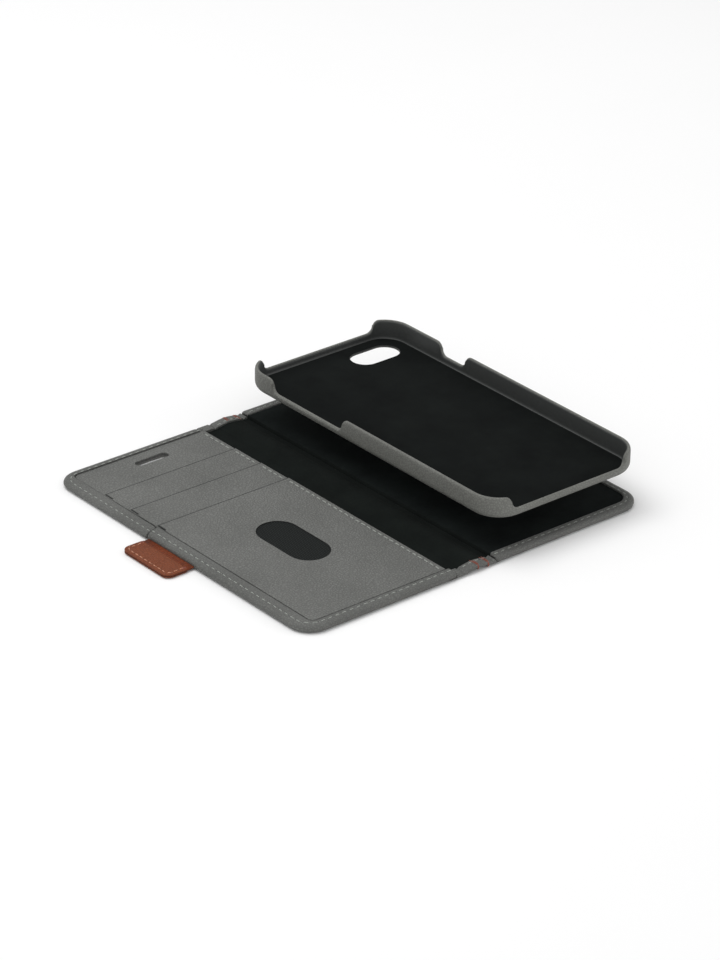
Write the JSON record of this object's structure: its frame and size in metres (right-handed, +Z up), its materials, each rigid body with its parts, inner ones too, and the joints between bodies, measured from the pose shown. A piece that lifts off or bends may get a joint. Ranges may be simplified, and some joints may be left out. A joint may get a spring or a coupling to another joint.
{
  "type": "phone wallet case",
  "caption": "Folding leather phone wallet: card pockets and a thumb window in the front cover, magnetic closure tab, and a hard phone shell that lifts off the lined back cover.",
  "frame": {"origin": "on the table under the middle of the open case, tab included", "axes": "+X from the closure tab across the spine to the back cover's free edge, +Y towards the phone's top end, +Z up out of the open covers"},
  "size_m": [0.1664, 0.1444, 0.0226],
  "materials": {
    "grey_leather": "mid-grey pebbled leather, semi-matt, slightly darker on the turned edges",
    "tan_leather": "red-brown leather, smooth grain, soft sheen",
    "black_microfibre": "black brushed microfibre, matt",
    "black_cloth": "thin black pocket cloth",
    "grey_thread": "light grey twisted thread",
    "tan_thread": "orange-tan twisted thread",
    "stiffener_board": "plain stiffening board",
    "shell_plastic": "dark moulded plastic",
    "magnet_nickel": "nickel-plated magnet",
    "steel_plate": "thin steel plate"
  },
  "bodies": {
    "back_cover": {"back_outer_leather": "grey_leather", "back_board": "stiffener_board", "back_lining": "black_microfibre", "back_edge_band": "grey_leather", "back_disc_magnets": "magnet_nickel", "back_latch_magnet": "magnet_nickel", "back_stitching": "grey_thread"},
    "spine": {"spine_outer_leather": "grey_leather", "spine_board": "stiffener_board", "spine_lining": "black_microfibre", "spine_end_bindings": "grey_leather", "spine_accent_stitching": "tan_thread", "spine_end_stitching": "grey_thread"},
    "front_cover": {"front_outer_leather": "grey_leather", "front_board": "stiffener_board", "front_edge_band_upper": "grey_leather", "front_edge_band_lower": "grey_leather", "inner_panel_leather": "grey_leather", "card_pocket_top": "grey_leather", "card_pocket_middle": "grey_leather", "window_backing_cloth": "black_cloth", "window_pocket_leather": "grey_leather", "front_lining_strip": "black_microfibre", "front_perimeter_stitching": "grey_thread", "front_hinge_stitching": "grey_thread", "tab_anchor_strap": "tan_leather"},
    "closure_tab": {"tab_top_leather": "tan_leather", "tab_bottom_leather": "tan_leather", "tab_stiffener": "stiffener_board", "tab_magnet": "magnet_nickel", "tab_stitching": "tan_thread"},
    "phone_shell": {"shell_core": "shell_plastic", "shell_leather_wrap": "grey_leather", "shell_lining": "black_microfibre", "shell_steel_plates": "steel_plate"}
  },
  "joints": [
    {"name": "spine_fold", "type": "hinge", "parent": "back_cover", "child": "spine", "pos_m": [0.0114, 0, 0.0007], "axis": [0, 1, 0], "range_deg": [0, 90]},
    {"name": "cover_fold", "type": "hinge", "parent": "spine", "child": "front_cover", "pos_m": [-0.0018, 0, 0.0007], "axis": [0, 1, 0], "range_deg": [0, 90]},
    {"name": "tab_fold", "type": "hinge", "parent": "front_cover", "child": "closure_tab", "pos_m": [-0.0744, 0, 0.0009], "axis": [0, 1, 0], "range_deg": [0, 90]},
    {"name": "shell_seat", "type": "slide", "parent": "back_cover", "child": "phone_shell", "axis": [0, 0, -1], "range_m": [0, 0.01115]}
  ],
  "couplings": [
    {"joint": "spine_fold", "follows": "shell_seat", "rad_per_m": 140.85}
  ]
}
